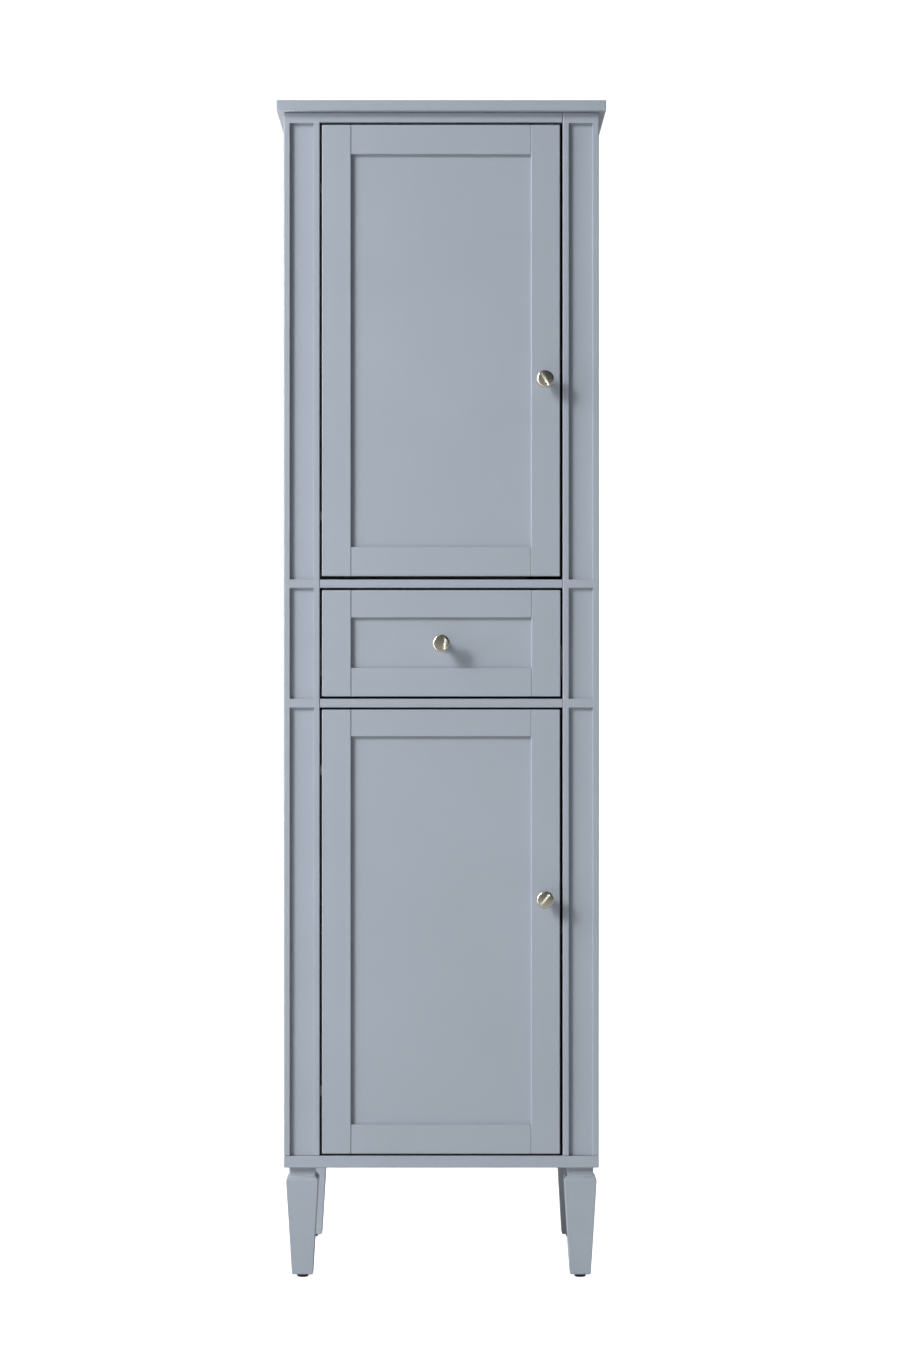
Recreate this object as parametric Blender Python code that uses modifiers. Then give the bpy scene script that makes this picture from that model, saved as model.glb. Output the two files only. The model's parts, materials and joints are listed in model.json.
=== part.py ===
"""Tall pantry cabinet: face frame, two shaker doors, one drawer on slides, four tapered legs.

Metres, +Z up, front towards -Y. The origin is on the floor, under the middle of the bounding box.
"""

import math

import bmesh
import bpy
from mathutils import Matrix, Vector

# Driving dimensions
HEIGHT = 1.7314
TOP_WIDTH = 0.483
TOP_THICK = 0.016
BODY_WIDTH = 0.463
BODY_DEPTH = 0.3725
TOP_FRONT_OVERHANG = 0.012
KNOB_REACH = 0.028
GAP = 0.0003
CUT_PAST = 0.010

# Heights of the face frame, from the floor
BODY_BOTTOM = 0.1649
LOWER_SILL = 0.1824
LOWER_HEAD = 0.8411
DRAWER_SILL = 0.8540
DRAWER_HEAD = 1.0169
UPPER_SILL = 1.0293
UPPER_HEAD = 1.7009
BODY_TOP = HEIGHT - TOP_THICK

# Boards
SIDE_THICK = 0.015
BACK_THICK = 0.005
BACK_RABBET = 0.0075
FRAME_THICK = 0.020
STILE_WIDTH = 0.053
STILE_STRIP = 0.0088
STILE_SINK = 0.006
SHELF_THICK = 0.0155
SHELF_SETBACK = 0.045
SHELF_CLEAR = 0.0015
UPPER_SHELF_Z = 1.3564
LOWER_SHELF_Z = 0.5044
BOARD_EDGE = 0.0009
HIDDEN_EDGE = 0.0004

# Doors and drawer front
FRONT_THICK = 0.020
FRONT_STILE = 0.0428
PANEL_THICK = 0.006
PANEL_SINK = 0.006
GROOVE_DEEP = 0.008
HINGE_SIDE_GAP = 0.0032
LATCH_SIDE_GAP = 0.004
DRAWER_SIDE_GAP = 0.0033
UPPER_DOOR_Z = (1.0342, 1.6974)
LOWER_DOOR_Z = (0.1855, 0.8382)
DRAWER_FRONT_Z = (0.8574, 1.0137)
UPPER_RAILS = (0.043, 0.0434)
LOWER_RAILS = (0.043, 0.0396)
DRAWER_RAILS = (0.042, 0.0405)

# Concealed hinges: the pin stands inside the door, near its hinge edge
PIN_FROM_EDGE = 0.010
PIN_FROM_FRONT = 0.0065
PIN_RADIUS = 0.0020
EYE_BORE = 0.00212
EYE_RADIUS = 0.0030
EYE_HALF = 0.0070
EAR_THICK = 0.0030
MORTISE_HALF = 0.0109
MORTISE_WIDTH = 0.031
MORTISE_SKIN = 0.0032
BLADE_LEFT = 0.0013
BLADE_RIGHT = 0.0043
ARM_THICK = 0.0025
ARM_PLATE_REACH = 0.036
WEB_LEFT = 0.0070
WEB_THICK = 0.0025
CUP_FLANGE_THICK = 0.0018
FLANGE_LIP = 0.003
HINGE_PLATE_HALF = 0.022
ROUND_SIDES = 20
HINGE_END_OFFSET = 0.090

# Drawer box and slides
BOX_HALF_WIDTH = 0.1655
BOX_BOARD = 0.012
BOX_LENGTH = 0.305
BOX_LOW = 0.8664
BOX_HIGH = 0.9764
BOX_BOTTOM_THICK = 0.005
BOX_BOTTOM_RISE = 0.010
BOX_GROOVE = 0.006
SLIDE_Z = 0.9094
SLIDE_LENGTH = 0.300
SLIDE_SETBACK = 0.002
CABINET_RIM_X = 0.1683
MIDDLE_RIM_X = 0.1672
DRAWER_RIM_X = 0.1730
MIDDLE_MEMBER_INSET = 0.0032
CABINET_MEMBER_HALF = 0.0228
MIDDLE_MEMBER_HALF = 0.0182
DRAWER_MEMBER_HALF = 0.0135
SLIDE_STEEL = 0.0012
SPACER_HALF_HEIGHT = 0.032
SPACER_LENGTH = 0.318

# Knobs
KNOB_RADIUS = 0.013
KNOB_RIM = 0.0020
KNOB_WAIST = 0.0043
KNOB_FOOT = 0.0080
KNOB_SIDES = 28
DOOR_KNOB_X = 0.152
UPPER_KNOB_Z = 1.3216
LOWER_KNOB_Z = 0.5604
DRAWER_KNOB_Z = 0.9353

# Legs and glides
LEG_X = 0.205
LEG_FROM_FACE = 0.030
LEG_SHOULDER = 0.0475
LEG_FOOT = 0.031
LEG_NECK = 0.038
NECK_LOW = 0.1506
SHOULDER_CHAMFER = 0.005
GLIDE_HEIGHT = 0.005
GLIDE_TOP_RADIUS = 0.0096
GLIDE_FOOT_RADIUS = 0.0083

BACK_Y = (BODY_DEPTH + KNOB_REACH) / 2
FACE_Y = BACK_Y - BODY_DEPTH
FRAME_BACK_Y = FACE_Y + FRAME_THICK
HALF_BODY = BODY_WIDTH / 2
OPENING_HALF = HALF_BODY - STILE_WIDTH
INNER_HALF = HALF_BODY - SIDE_THICK
INNER_BACK_Y = BACK_Y - BACK_THICK - GAP
PIN_X = -OPENING_HALF + HINGE_SIDE_GAP + PIN_FROM_EDGE
PIN_Y = FACE_Y + PIN_FROM_FRONT
BEHIND_PIN = FRONT_THICK - PIN_FROM_FRONT + GAP

PAINT = ("paint", (0.385, 0.435, 0.480), 0.38, 0.0)
LIGHT_WOOD = ("light_wood", (0.66, 0.50, 0.33), 0.50, 0.0)
NICKEL = ("brushed_nickel", (0.62, 0.60, 0.52), 0.28, 1.0)
ZINC = ("zinc_steel", (0.60, 0.61, 0.62), 0.35, 1.0)
BLACK_PLASTIC = ("black_plastic", (0.02, 0.02, 0.02), 0.50, 0.0)


def clear_scene():
    for obj in list(bpy.data.objects):
        bpy.data.objects.remove(obj)


def new_collection(name):
    collection = bpy.data.collections.new(name)
    bpy.context.scene.collection.children.link(collection)
    return collection


clear_scene()
PARTS = new_collection("pantry_cabinet")
CUTTERS = new_collection("cutters")


def finish_of(name, finish):
    label, colour, roughness, metallic = finish
    material = bpy.data.materials.new(f"{label}_{name}")
    material.use_nodes = True
    shader = material.node_tree.nodes["Principled BSDF"]
    shader.inputs["Base Color"].default_value = (*colour, 1.0)
    shader.inputs["Roughness"].default_value = roughness
    shader.inputs["Metallic"].default_value = metallic
    return material


def add_part(name, mesh, finish, at=(0, 0, 0)):
    obj = bpy.data.objects.new(name, mesh)
    obj.location = at
    mesh.materials.append(finish_of(name, finish))
    PARTS.objects.link(obj)
    return obj


def block_mesh(name, size):
    bm = bmesh.new()
    bmesh.ops.create_cube(bm, size=1.0)
    bmesh.ops.scale(bm, vec=size, verts=bm.verts)
    mesh = bpy.data.meshes.new(name)
    bm.to_mesh(mesh)
    bm.free()
    return mesh


def between(low, high):
    low, high = Vector(low), Vector(high)
    return high - low, (low + high) / 2


def ease_edges(obj, width, segments=1):
    bevel = obj.modifiers.new("eased edges", "BEVEL")
    bevel.width = width
    bevel.segments = segments
    bevel.limit_method = "ANGLE"


def cut(obj, low, high):
    """Cuts a box-shaped hollow, given by its lowest and highest corners in the cabinet's frame."""
    size, middle = between(low, high)
    tool = bpy.data.objects.new(f"cut_{obj.name}", block_mesh(f"cut_{obj.name}", size))
    tool.location = middle
    tool.hide_render = True
    tool.display_type = "WIRE"
    CUTTERS.objects.link(tool)
    boolean = obj.modifiers.new("cut", "BOOLEAN")
    boolean.operation = "DIFFERENCE"
    boolean.solver = "EXACT"
    boolean.object = tool


def board(name, low, high, finish=PAINT, cuts=(), edge=HIDDEN_EDGE):
    """A board between two corners. Its edges are eased first, so what is cut afterwards stays sharp."""
    size, middle = between(low, high)
    obj = add_part(name, block_mesh(name, size), finish, at=middle)
    ease_edges(obj, edge)
    for hollow in cuts:
        cut(obj, *hollow)
    return obj


def in_group(objects, name, at):
    """Parents the objects to an empty on their joint, without moving them."""
    empty = bpy.data.objects.new(name, None)
    empty.location = at
    PARTS.objects.link(empty)
    for obj in objects:
        obj.parent = empty
        obj.matrix_parent_inverse = Matrix.Translation(-Vector(at))


def join(obj, others):
    """Unites the other solids with obj, so that they are one body."""
    for other in others:
        PARTS.objects.unlink(other)
        CUTTERS.objects.link(other)
        other.hide_render = True
        other.display_type = "WIRE"
        boolean = obj.modifiers.new("join", "BOOLEAN")
        boolean.operation = "UNION"
        boolean.solver = "EXACT"
        boolean.object = other


def prism(name, outline, low, high, finish):
    """A solid with a flat outline in X and Y, from height low to height high."""
    bm = bmesh.new()
    face = bm.faces.new([bm.verts.new((x, y, low)) for x, y in outline])
    grown = bmesh.ops.extrude_face_region(bm, geom=[face])
    raised = [item for item in grown["geom"] if isinstance(item, bmesh.types.BMVert)]
    bmesh.ops.translate(bm, vec=(0, 0, high - low), verts=raised)
    bmesh.ops.recalc_face_normals(bm, faces=bm.faces)
    mesh = bpy.data.meshes.new(name)
    bm.to_mesh(mesh)
    bm.free()
    return add_part(name, mesh, finish)


def rod_mesh(name, radius, height, sides, top_radius=None):
    bm = bmesh.new()
    bmesh.ops.create_cone(
        bm,
        cap_ends=True,
        segments=sides,
        radius1=radius,
        radius2=radius if top_radius is None else top_radius,
        depth=height,
    )
    mesh = bpy.data.meshes.new(name)
    bm.to_mesh(mesh)
    bm.free()
    return mesh


def make_top():
    board(
        "top_panel",
        (-TOP_WIDTH / 2, FACE_Y - TOP_FRONT_OVERHANG, BODY_TOP + GAP),
        (TOP_WIDTH / 2, BACK_Y, HEIGHT),
        edge=BOARD_EDGE,
    )


def make_sides_and_back():
    rabbet_x = HALF_BODY - BACK_RABBET
    for side, name in ((-1, "left_side_panel"), (1, "right_side_panel")):
        inner, outer = sorted((side * INNER_HALF, side * HALF_BODY))
        cut_in, cut_out = sorted((side * (INNER_HALF - CUT_PAST), side * rabbet_x))
        rabbet = (
            (cut_in, BACK_Y - BACK_THICK - GAP, 0),
            (cut_out, BACK_Y + CUT_PAST, HEIGHT),
        )
        board(
            name,
            (inner, FRAME_BACK_Y + GAP, BODY_BOTTOM),
            (outer, BACK_Y, BODY_TOP),
            cuts=[rabbet],
        )
    half = rabbet_x - GAP
    board("back_panel", (-half, BACK_Y - BACK_THICK, BODY_BOTTOM), (half, BACK_Y, BODY_TOP))


def make_stiles():
    fields = (
        (LOWER_SILL + GAP, LOWER_HEAD),
        (DRAWER_SILL, DRAWER_HEAD),
        (UPPER_SILL, UPPER_HEAD - 0.001),
    )
    for side, name in ((-1, "left_stile"), (1, "right_stile")):
        low_x, high_x = sorted((side * OPENING_HALF, side * HALF_BODY))
        sinks = []
        for index, (low_z, high_z) in enumerate(fields):
            start = low_z - CUT_PAST if index == 0 else low_z
            sinks.append(
                (
                    (low_x + STILE_STRIP, FACE_Y - CUT_PAST, start),
                    (high_x - STILE_STRIP, FACE_Y + STILE_SINK, high_z),
                )
            )
        board(
            name,
            (low_x, FACE_Y, LOWER_SILL + GAP),
            (high_x, FRAME_BACK_Y, BODY_TOP),
            cuts=sinks,
            edge=BOARD_EDGE,
        )


def make_rails_and_floor():
    reach = OPENING_HALF - GAP
    board("top_rail", (-reach, FACE_Y, UPPER_HEAD), (reach, FRAME_BACK_Y, BODY_TOP), edge=BOARD_EDGE)
    board(
        "bottom_rail",
        (-HALF_BODY, FACE_Y, BODY_BOTTOM),
        (HALF_BODY, FRAME_BACK_Y, LOWER_SILL),
        edge=BOARD_EDGE,
    )
    inner = INNER_HALF - GAP
    board("bottom_panel", (-inner, FRAME_BACK_Y + GAP, BODY_BOTTOM), (inner, INNER_BACK_Y, LOWER_SILL))


def make_decks():
    """The two fixed decks. Each one's tongue passes between the stiles and shows as a middle rail."""
    inner = INNER_HALF - GAP
    reach = OPENING_HALF - GAP
    for name, low_z, high_z in (
        ("lower_deck", LOWER_HEAD, DRAWER_SILL),
        ("upper_deck", DRAWER_HEAD, UPPER_SILL),
    ):
        notches = []
        for low_x, high_x in ((-inner - CUT_PAST, -reach), (reach, inner + CUT_PAST)):
            notches.append(
                (
                    (low_x, FACE_Y - CUT_PAST, low_z - CUT_PAST),
                    (high_x, FRAME_BACK_Y + GAP, high_z + CUT_PAST),
                )
            )
        board(
            name,
            (-inner, FACE_Y, low_z),
            (inner, INNER_BACK_Y, high_z),
            cuts=notches,
            edge=BOARD_EDGE,
        )


def make_shelves():
    half = INNER_HALF - SHELF_CLEAR
    for name, height in (("upper_shelf", UPPER_SHELF_Z), ("lower_shelf", LOWER_SHELF_Z)):
        board(
            name,
            (-half, FACE_Y + SHELF_SETBACK, height),
            (half, INNER_BACK_Y - SHELF_CLEAR, height + SHELF_THICK),
            edge=BOARD_EDGE,
        )


def make_front(prefix, low_x, high_x, heights, rails, hinge_heights=()):
    """A five-piece shaker front: grooved stiles and rails around a panel that floats in the grooves."""
    low_z, high_z = heights
    bottom_rail, top_rail = rails
    back_y = FACE_Y + FRONT_THICK
    groove_front = FACE_Y + PANEL_SINK - GAP
    groove_back = FACE_Y + PANEL_SINK + PANEL_THICK + GAP
    inner_low = low_x + FRONT_STILE
    inner_high = high_x - FRONT_STILE
    made = []

    mortises = []
    for height in hinge_heights:
        mortises.append(
            (
                (low_x - CUT_PAST, FACE_Y + MORTISE_SKIN, height - MORTISE_HALF),
                (low_x + MORTISE_WIDTH, back_y + CUT_PAST, height + MORTISE_HALF),
            )
        )
    left_groove = (
        (inner_low - GROOVE_DEEP, groove_front, low_z - CUT_PAST),
        (inner_low + CUT_PAST, groove_back, high_z + CUT_PAST),
    )
    right_groove = (
        (inner_high - CUT_PAST, groove_front, low_z - CUT_PAST),
        (inner_high + GROOVE_DEEP, groove_back, high_z + CUT_PAST),
    )
    if hinge_heights:
        left_name, right_name = f"{prefix}_hinge_stile", f"{prefix}_latch_stile"
    else:
        left_name, right_name = f"{prefix}_left_stile", f"{prefix}_right_stile"
    made.append(
        board(
            left_name,
            (low_x, FACE_Y, low_z),
            (inner_low, back_y, high_z),
            cuts=[left_groove] + mortises,
            edge=BOARD_EDGE,
        )
    )
    made.append(
        board(
            right_name,
            (inner_high, FACE_Y, low_z),
            (high_x, back_y, high_z),
            cuts=[right_groove],
            edge=BOARD_EDGE,
        )
    )

    shoulder_low = inner_low + GAP
    shoulder_high = inner_high - GAP
    tongue_low = inner_low - GROOVE_DEEP + GAP
    tongue_high = inner_high + GROOVE_DEEP - GAP
    panel_edges = (low_z + bottom_rail, high_z - top_rail)
    for part, rail_low, rail_high, groove_low, groove_high in (
        ("bottom_rail", low_z, panel_edges[0], panel_edges[0] - GROOVE_DEEP, panel_edges[0] + CUT_PAST),
        ("top_rail", panel_edges[1], high_z, panel_edges[1] - CUT_PAST, panel_edges[1] + GROOVE_DEEP),
    ):
        past_low, past_high = tongue_low - CUT_PAST, tongue_high + CUT_PAST
        under, over = low_z - CUT_PAST, high_z + CUT_PAST
        cuts = [((past_low, groove_front, groove_low), (past_high, groove_back, groove_high))]
        for out_low, out_high in ((past_low, shoulder_low), (shoulder_high, past_high)):
            cuts.append(((out_low, FACE_Y - CUT_PAST, under), (out_high, groove_front + GAP, over)))
            cuts.append(((out_low, groove_back - GAP, under), (out_high, back_y + CUT_PAST, over)))
        made.append(
            board(
                f"{prefix}_{part}",
                (tongue_low, FACE_Y, rail_low),
                (tongue_high, back_y, rail_high),
                cuts=cuts,
                edge=BOARD_EDGE,
            )
        )
    slack = GROOVE_DEEP - 2 * GAP
    made.append(
        board(
            f"{prefix}_panel",
            (inner_low - slack, groove_front + GAP, panel_edges[0] - slack),
            (inner_high + slack, groove_back - GAP, panel_edges[1] + slack),
        )
    )
    return made


def make_knob(name, x, z):
    """A turned knob: foot, waist, and a flat head with a rounded rim. Its axis runs along Y."""
    head_front = KNOB_REACH
    rim_middle = KNOB_RADIUS - KNOB_RIM
    profile = [
        (0.0, head_front),
        (rim_middle, head_front),
    ]
    for step in range(1, 4):
        turn = math.radians(30 * step)
        profile.append(
            (rim_middle + KNOB_RIM * math.sin(turn), head_front - KNOB_RIM + KNOB_RIM * math.cos(turn))
        )
    profile += [
        (KNOB_RADIUS, head_front - 0.0060),
        (KNOB_RADIUS - 0.0030, head_front - 0.0085),
        (KNOB_WAIST + 0.0010, head_front - 0.0112),
        (KNOB_WAIST, head_front - 0.0150),
        (KNOB_WAIST + 0.0006, GAP + 0.0045),
        (KNOB_FOOT, GAP + 0.0020),
        (KNOB_FOOT, GAP),
        (0.0, GAP),
    ]
    bm = bmesh.new()
    points = [bm.verts.new((radius, 0, height)) for radius, height in profile]
    for first, second in zip(points, points[1:]):
        bm.edges.new((first, second))
    mesh = bpy.data.meshes.new(name)
    bm.to_mesh(mesh)
    bm.free()
    obj = add_part(name, mesh, NICKEL, at=(x, FACE_Y, z))
    obj.rotation_euler = (math.radians(90), 0, 0)
    screw = obj.modifiers.new("turned", "SCREW")
    screw.steps = KNOB_SIDES
    screw.render_steps = KNOB_SIDES
    screw.use_merge_vertices = True
    screw.merge_threshold = 0.00005
    return obj


def make_hinge_arm(prefix, at):
    """The fixed half: a plate behind the stile, a blade that comes forward into the door, and a bored eye."""
    plate_right = -PIN_FROM_EDGE - HINGE_SIDE_GAP
    plate_left = plate_right - ARM_PLATE_REACH
    plate_back = BEHIND_PIN + ARM_THICK
    eye = add_part(f"{prefix}_arm", rod_mesh("eye", EYE_RADIUS, 2 * EYE_HALF, ROUND_SIDES), ZINC, at=at)
    blade_outline = [
        (BLADE_LEFT, 0.0),
        (BLADE_RIGHT - 0.0015, 0.0),
        (BLADE_RIGHT, EYE_RADIUS),
        (BLADE_RIGHT, plate_back),
        (plate_left, plate_back),
        (plate_left, BEHIND_PIN),
        (BLADE_LEFT, BEHIND_PIN),
    ]
    blade = prism(f"{prefix}_blade", blade_outline, -EYE_HALF, EYE_HALF, ZINC)
    blade.location = at
    size, middle = between(
        (plate_left, BEHIND_PIN, -HINGE_PLATE_HALF),
        (plate_right - 0.004, plate_back, HINGE_PLATE_HALF),
    )
    plate = add_part(f"{prefix}_plate", block_mesh("plate", size), ZINC, at=at + middle)
    join(eye, [blade, plate])
    bore = bpy.data.objects.new(f"{prefix}_bore", rod_mesh("bore", EYE_BORE, 3 * EYE_HALF, ROUND_SIDES))
    bore.location = at
    bore.hide_render = True
    bore.display_type = "WIRE"
    CUTTERS.objects.link(bore)
    drill = eye.modifiers.new("bore", "BOOLEAN")
    drill.solver = "EXACT"
    drill.object = bore


def make_hinge_cup(prefix, at):
    """The moving half: a pin held between two ears, a web, and a flange on the back of the door."""
    ear_low = EYE_HALF + GAP
    ear_high = ear_low + EAR_THICK
    cup_right = MORTISE_WIDTH - PIN_FROM_EDGE - GAP
    cup_front = MORTISE_SKIN - PIN_FROM_FRONT + 0.0004
    flange_back = BEHIND_PIN + CUP_FLANGE_THICK
    ear_outline = [
        (-0.0015, cup_front),
        (cup_right, cup_front),
        (cup_right, flange_back),
        (0.0060, flange_back),
        (0.0060, 0.0060),
        (-0.0032, 0.0020),
        (-0.0032, -0.0015),
    ]
    cup = add_part(
        f"{prefix}_cup", rod_mesh("pin", PIN_RADIUS, 2 * ear_low + EAR_THICK, ROUND_SIDES), ZINC, at=at
    )
    pieces = []
    for tag, low, high in (("low", -ear_high, -ear_low), ("high", ear_low, ear_high)):
        ear = prism(f"{prefix}_ear_{tag}", ear_outline, low, high, ZINC)
        ear.location = at
        pieces.append(ear)
    for tag, low, high in (
        ("web", (WEB_LEFT, cup_front, -ear_high), (WEB_LEFT + WEB_THICK, flange_back, ear_high)),
        (
            "flange",
            (WEB_LEFT, BEHIND_PIN, -HINGE_PLATE_HALF),
            (cup_right + FLANGE_LIP, flange_back, HINGE_PLATE_HALF),
        ),
    ):
        size, middle = between(low, high)
        pieces.append(add_part(f"{prefix}_{tag}", block_mesh(tag, size), ZINC, at=at + middle))
    join(cup, pieces)
    return cup


def make_hinge(prefix, height):
    """A concealed single-pin hinge. Returns the half that turns with the door."""
    at = Vector((PIN_X, PIN_Y, height))
    make_hinge_arm(prefix, at)
    return make_hinge_cup(prefix, at)


def make_door(name, heights, rails, knob_z, hinge_z):
    low_x = -OPENING_HALF + HINGE_SIDE_GAP
    high_x = OPENING_HALF - LATCH_SIDE_GAP
    moving = make_front(name, low_x, high_x, heights, rails, hinge_heights=hinge_z)
    for height, place in zip(hinge_z, ("lower", "upper")):
        moving.append(make_hinge(f"{name}_{place}_hinge", height))
    moving.append(make_knob(f"{name}_knob", DOOR_KNOB_X, knob_z))
    in_group(moving, f"{name}_axis", (PIN_X, PIN_Y, heights[0]))


def hinge_heights(heights):
    low, high = heights
    return (low + HINGE_END_OFFSET, high - HINGE_END_OFFSET)


def make_drawer_box():
    front_y = FRAME_BACK_Y + GAP
    back_y = front_y + BOX_LENGTH
    inside = BOX_HALF_WIDTH - BOX_BOARD
    groove_low = BOX_LOW + BOX_BOTTOM_RISE
    groove_high = groove_low + BOX_BOTTOM_THICK + 2 * GAP
    groove_half = inside + BOX_GROOVE
    groove = (
        (-groove_half, front_y + BOX_BOARD - BOX_GROOVE, groove_low),
        (groove_half, back_y - BOX_BOARD + BOX_GROOVE, groove_high),
    )
    made = []
    for side, name in ((-1, "drawer_left_side"), (1, "drawer_right_side")):
        low_x, high_x = sorted((side * inside, side * BOX_HALF_WIDTH))
        made.append(
            board(name, (low_x, front_y, BOX_LOW), (high_x, back_y, BOX_HIGH), LIGHT_WOOD, [groove])
        )
    reach = inside - GAP
    for name, low_y in (("drawer_sub_front", front_y), ("drawer_back", back_y - BOX_BOARD)):
        made.append(
            board(
                name,
                (-reach, low_y, BOX_LOW),
                (reach, low_y + BOX_BOARD, BOX_HIGH),
                LIGHT_WOOD,
                [groove],
            )
        )
    low, high = groove
    made.append(
        board(
            "drawer_bottom",
            (low[0] + GAP, low[1] + GAP, low[2] + GAP),
            (high[0] - GAP, high[1] - GAP, high[2] - GAP),
            LIGHT_WOOD,
        )
    )
    return made


def channel(name, side, web_x, rim_x, half_height, low_y):
    """A folded steel channel along Y: an upright web, with a flange along its top and its bottom."""
    inward = 1 if rim_x > web_x else -1
    thick = SLIDE_STEEL
    outline = [
        (web_x, -half_height),
        (rim_x, -half_height),
        (rim_x, -half_height + thick),
        (web_x + inward * thick, -half_height + thick),
        (web_x + inward * thick, half_height - thick),
        (rim_x, half_height - thick),
        (rim_x, half_height),
        (web_x, half_height),
    ]
    obj = prism(name, [(side * x, z) for x, z in outline], 0, SLIDE_LENGTH, ZINC)
    obj.rotation_euler = (math.radians(90), 0, 0)
    obj.location = (0, low_y + SLIDE_LENGTH, SLIDE_Z)
    return obj


def make_slides():
    """Returns the drawer members and the middle members; the cabinet members stay fixed."""
    start = FRAME_BACK_Y + SLIDE_SETBACK
    outer_web = OPENING_HALF - GAP
    middle_web = outer_web - MIDDLE_MEMBER_INSET
    inner_web = BOX_HALF_WIDTH + GAP
    drawer_members = []
    middle_members = []
    for side, tag in ((-1, "left"), (1, "right")):
        channel(f"slide_cabinet_member_{tag}", side, outer_web, CABINET_RIM_X, CABINET_MEMBER_HALF, start)
        middle_members.append(
            channel(f"slide_middle_member_{tag}", side, middle_web, MIDDLE_RIM_X, MIDDLE_MEMBER_HALF, start)
        )
        drawer_members.append(
            channel(f"slide_drawer_member_{tag}", side, inner_web, DRAWER_RIM_X, DRAWER_MEMBER_HALF, start)
        )
        low_x, high_x = sorted((side * OPENING_HALF, side * (INNER_HALF - GAP)))
        board(
            f"slide_spacer_{tag}",
            (low_x, FRAME_BACK_Y + GAP, SLIDE_Z - SPACER_HALF_HEIGHT),
            (high_x, FRAME_BACK_Y + GAP + SPACER_LENGTH, SLIDE_Z + SPACER_HALF_HEIGHT),
            LIGHT_WOOD,
        )
    return drawer_members, middle_members


def make_drawer():
    half = OPENING_HALF - DRAWER_SIDE_GAP
    moving = make_front("drawer_front", -half, half, DRAWER_FRONT_Z, DRAWER_RAILS)
    moving += make_drawer_box()
    moving.append(make_knob("drawer_knob", 0.0, DRAWER_KNOB_Z))
    drawer_members, middle_members = make_slides()
    in_group(moving + drawer_members, "drawer_travel", (0, FACE_Y, SLIDE_Z))
    in_group(middle_members, "slide_middle_travel", (0, FACE_Y, SLIDE_Z))


def leg_mesh():
    """A square leg: tapered shaft, chamfered shoulder, and a plain neck."""
    sections = (
        (GLIDE_HEIGHT, LEG_FOOT - 0.003),
        (GLIDE_HEIGHT + 0.0015, LEG_FOOT),
        (NECK_LOW - SHOULDER_CHAMFER, LEG_SHOULDER),
        (NECK_LOW, LEG_SHOULDER - 1.4 * SHOULDER_CHAMFER),
        (NECK_LOW + GAP, LEG_NECK),
        (BODY_BOTTOM - GAP, LEG_NECK),
    )
    bm = bmesh.new()
    size, middle = between((-0.5, -0.5, sections[0][0]), (0.5, 0.5, sections[1][0]))
    bmesh.ops.create_cube(bm, size=1.0)
    bmesh.ops.scale(bm, vec=size, verts=bm.verts)
    bmesh.ops.translate(bm, vec=middle, verts=bm.verts)
    foot = [vert for vert in bm.verts if vert.co.z < middle.z]
    rim = [vert for vert in bm.verts if vert.co.z > middle.z]
    bmesh.ops.scale(bm, vec=(sections[0][1], sections[0][1], 1), verts=foot)
    bmesh.ops.scale(bm, vec=(sections[1][1], sections[1][1], 1), verts=rim)
    for (low_z, low_width), (high_z, high_width) in zip(sections[1:], sections[2:]):
        top = max(bm.faces, key=lambda face: face.calc_center_median().z)
        grown = bmesh.ops.extrude_discrete_faces(bm, faces=[top])["faces"][0]
        ratio = high_width / low_width
        bmesh.ops.scale(bm, vec=(ratio, ratio, 1), verts=grown.verts)
        bmesh.ops.translate(bm, vec=(0, 0, high_z - low_z), verts=grown.verts)
    mesh = bpy.data.meshes.new("leg")
    bm.to_mesh(mesh)
    bm.free()
    return mesh


def make_legs():
    for depth_tag, y in (("front", FACE_Y + LEG_FROM_FACE), ("rear", BACK_Y - LEG_FROM_FACE)):
        for side, side_tag in ((-1, "left"), (1, "right")):
            leg = add_part(f"{depth_tag}_{side_tag}_leg", leg_mesh(), PAINT, at=(side * LEG_X, y, 0))
            ease_edges(leg, BOARD_EDGE)
            glide = rod_mesh(
                "glide", GLIDE_FOOT_RADIUS, GLIDE_HEIGHT - GAP, ROUND_SIDES, top_radius=GLIDE_TOP_RADIUS
            )
            height = (GLIDE_HEIGHT - GAP) / 2
            add_part(f"{depth_tag}_{side_tag}_glide", glide, BLACK_PLASTIC, at=(side * LEG_X, y, height))


def main():
    make_top()
    make_sides_and_back()
    make_stiles()
    make_rails_and_floor()
    make_decks()
    make_shelves()
    make_door("upper_door", UPPER_DOOR_Z, UPPER_RAILS, UPPER_KNOB_Z, hinge_heights(UPPER_DOOR_Z))
    make_door("lower_door", LOWER_DOOR_Z, LOWER_RAILS, LOWER_KNOB_Z, hinge_heights(LOWER_DOOR_Z))
    make_drawer()
    make_legs()


main()
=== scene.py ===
"""Looks of the tall pantry cabinet: refined boards, turned knobs, hardware, materials, light and camera.

Everything is in metres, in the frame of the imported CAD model: +Z up, the front towards -Y.
"""

import json
import math

import bmesh
import bpy
from mathutils import Matrix, Vector

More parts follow.
